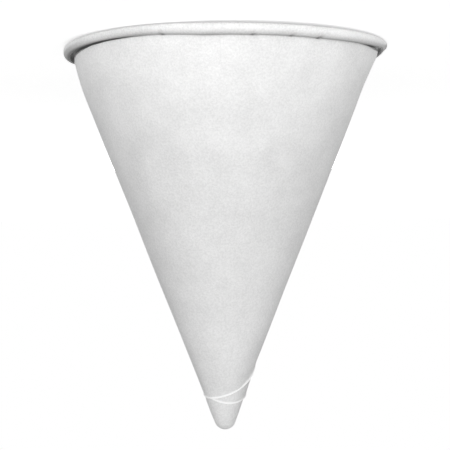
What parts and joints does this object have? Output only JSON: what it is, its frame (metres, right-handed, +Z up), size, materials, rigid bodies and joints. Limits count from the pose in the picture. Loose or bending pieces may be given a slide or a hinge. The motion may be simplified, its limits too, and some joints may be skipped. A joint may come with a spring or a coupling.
{
  "type": "cone paper cup",
  "caption": "Conical paper drinking cup wound from white paper, with a rolled rim at the mouth and a closed rounded tip.",
  "frame": {"origin": "centre of the mouth, on the plane that the rolled rim stands on", "axes": "+Z up along the cup's axis to the tip, with the mouth opening down; -Y is the side seen in the picture; +X to the right seen from -Y, which is the left of the picture, where the cup is shown tip down"},
  "size_m": [0.077, 0.077, 0.092],
  "materials": {
    "paper": "matte"
  },
  "bodies": {
    "root": {"cone_cup": "paper"}
  },
  "joints": []
}
